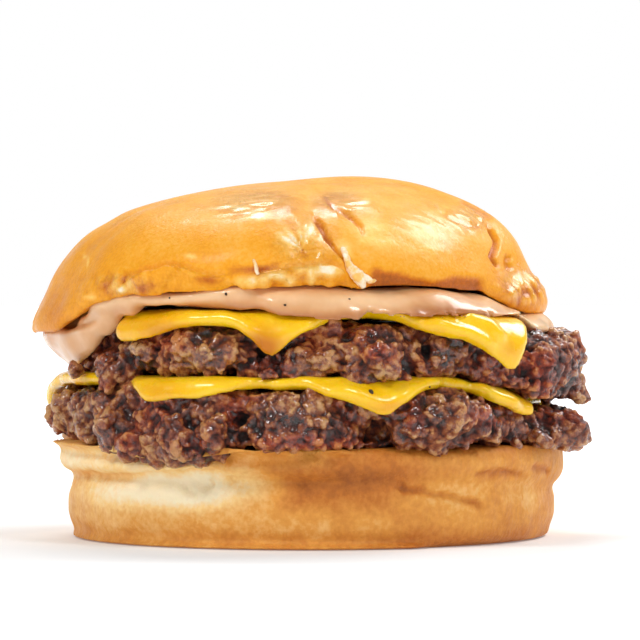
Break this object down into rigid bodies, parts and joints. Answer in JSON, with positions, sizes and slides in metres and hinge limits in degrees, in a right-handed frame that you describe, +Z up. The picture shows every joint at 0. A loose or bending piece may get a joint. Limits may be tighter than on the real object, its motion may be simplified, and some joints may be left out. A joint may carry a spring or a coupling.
{
  "type": "cheeseburger",
  "caption": "Cheeseburger in a glossy soft bun, with craggy seared beef patties, melted cheese running over their edges and a band of pale sauce.",
  "frame": {"origin": "centre of the whole burger's footprint, on the plane that it rests on", "axes": "+Z up through the layers, -Y towards the side that the picture shows, +X to that side's right"},
  "size_m": [0.111, 0.1094, 0.0717],
  "materials": {
    "heel_bread": "soft matte bread",
    "crown_bread": "glazed golden crust",
    "beef": "seared, with wet spots",
    "cheese": "melted and glossy",
    "sauce": "creamy"
  },
  "bodies": {
    "root": {"bun_heel": "heel_bread", "patty_lower": "beef", "cheese_lower": "cheese", "patty_upper": "beef", "cheese_upper": "cheese", "sauce": "sauce", "bun_crown": "crown_bread"}
  },
  "joints": []
}
